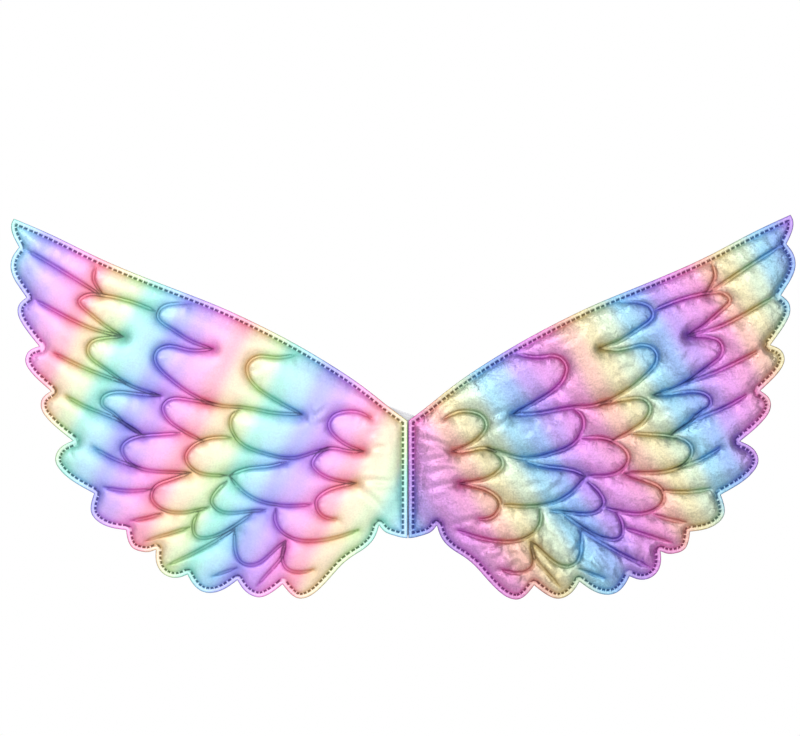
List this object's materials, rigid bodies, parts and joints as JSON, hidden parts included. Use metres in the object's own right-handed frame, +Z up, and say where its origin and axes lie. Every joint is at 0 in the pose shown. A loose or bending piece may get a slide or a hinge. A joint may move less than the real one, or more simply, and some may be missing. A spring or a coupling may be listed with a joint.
{
  "type": "fairy wings",
  "caption": "Padded feather-shaped costume wings in rainbow metallic fabric, joined at a centre seam, with an elastic loop for each arm.",
  "frame": {"origin": "the rear face of the seam tape, in the middle of the seam's height: the place that rests on the wearer's back", "axes": "+X to the right wing's tip, as seen from behind the wearer, +Y towards the wearer's back, +Z up towards the wearer's head"},
  "size_m": [0.5025, 0.0857, 0.2463],
  "materials": {
    "left_metallic_fabric": "satin",
    "right_metallic_fabric": "satin",
    "wadding": "matte",
    "backing_fabric": "matte",
    "tape": "matte",
    "elastic": "matte",
    "thread": "matte"
  },
  "bodies": {
    "root": {"seam_tape": "tape", "left_seam_thread": "thread", "right_seam_thread": "thread", "left_upper_strap_end": "elastic", "left_lower_strap_end": "elastic", "right_upper_strap_end": "elastic", "right_lower_strap_end": "elastic", "upper_tack_thread": "thread", "lower_tack_thread": "thread"},
    "left_wing": {"left_face_fabric": "left_metallic_fabric", "left_padding": "wadding", "left_backing_fabric": "backing_fabric"},
    "right_wing": {"right_face_fabric": "right_metallic_fabric", "right_padding": "wadding", "right_backing_fabric": "backing_fabric"},
    "left_strap": {"left_shoulder_strap": "elastic"},
    "right_strap": {"right_shoulder_strap": "elastic"}
  },
  "joints": [
    {"name": "left_wing_fold", "type": "hinge", "parent": "root", "child": "left_wing", "pos_m": [-0.0003, -0.0027, 0], "axis": [0, 0, 1], "range_deg": [-10, 65], "stiffness_Nm_per_rad": 0.01},
    {"name": "right_wing_fold", "type": "hinge", "parent": "root", "child": "right_wing", "pos_m": [0.0003, -0.0027, 0], "axis": [0, 0, -1], "range_deg": [-10, 65], "stiffness_Nm_per_rad": 0.01},
    {"name": "left_strap_swing", "type": "hinge", "parent": "root", "child": "left_strap", "pos_m": [-0.00575, 0.0006, 0], "axis": [0, 0, -1], "range_deg": [-12, 49], "stiffness_Nm_per_rad": 0.002},
    {"name": "right_strap_swing", "type": "hinge", "parent": "root", "child": "right_strap", "pos_m": [0.00575, 0.0018, 0], "axis": [0, 0, 1], "range_deg": [-12, 49], "stiffness_Nm_per_rad": 0.002}
  ]
}
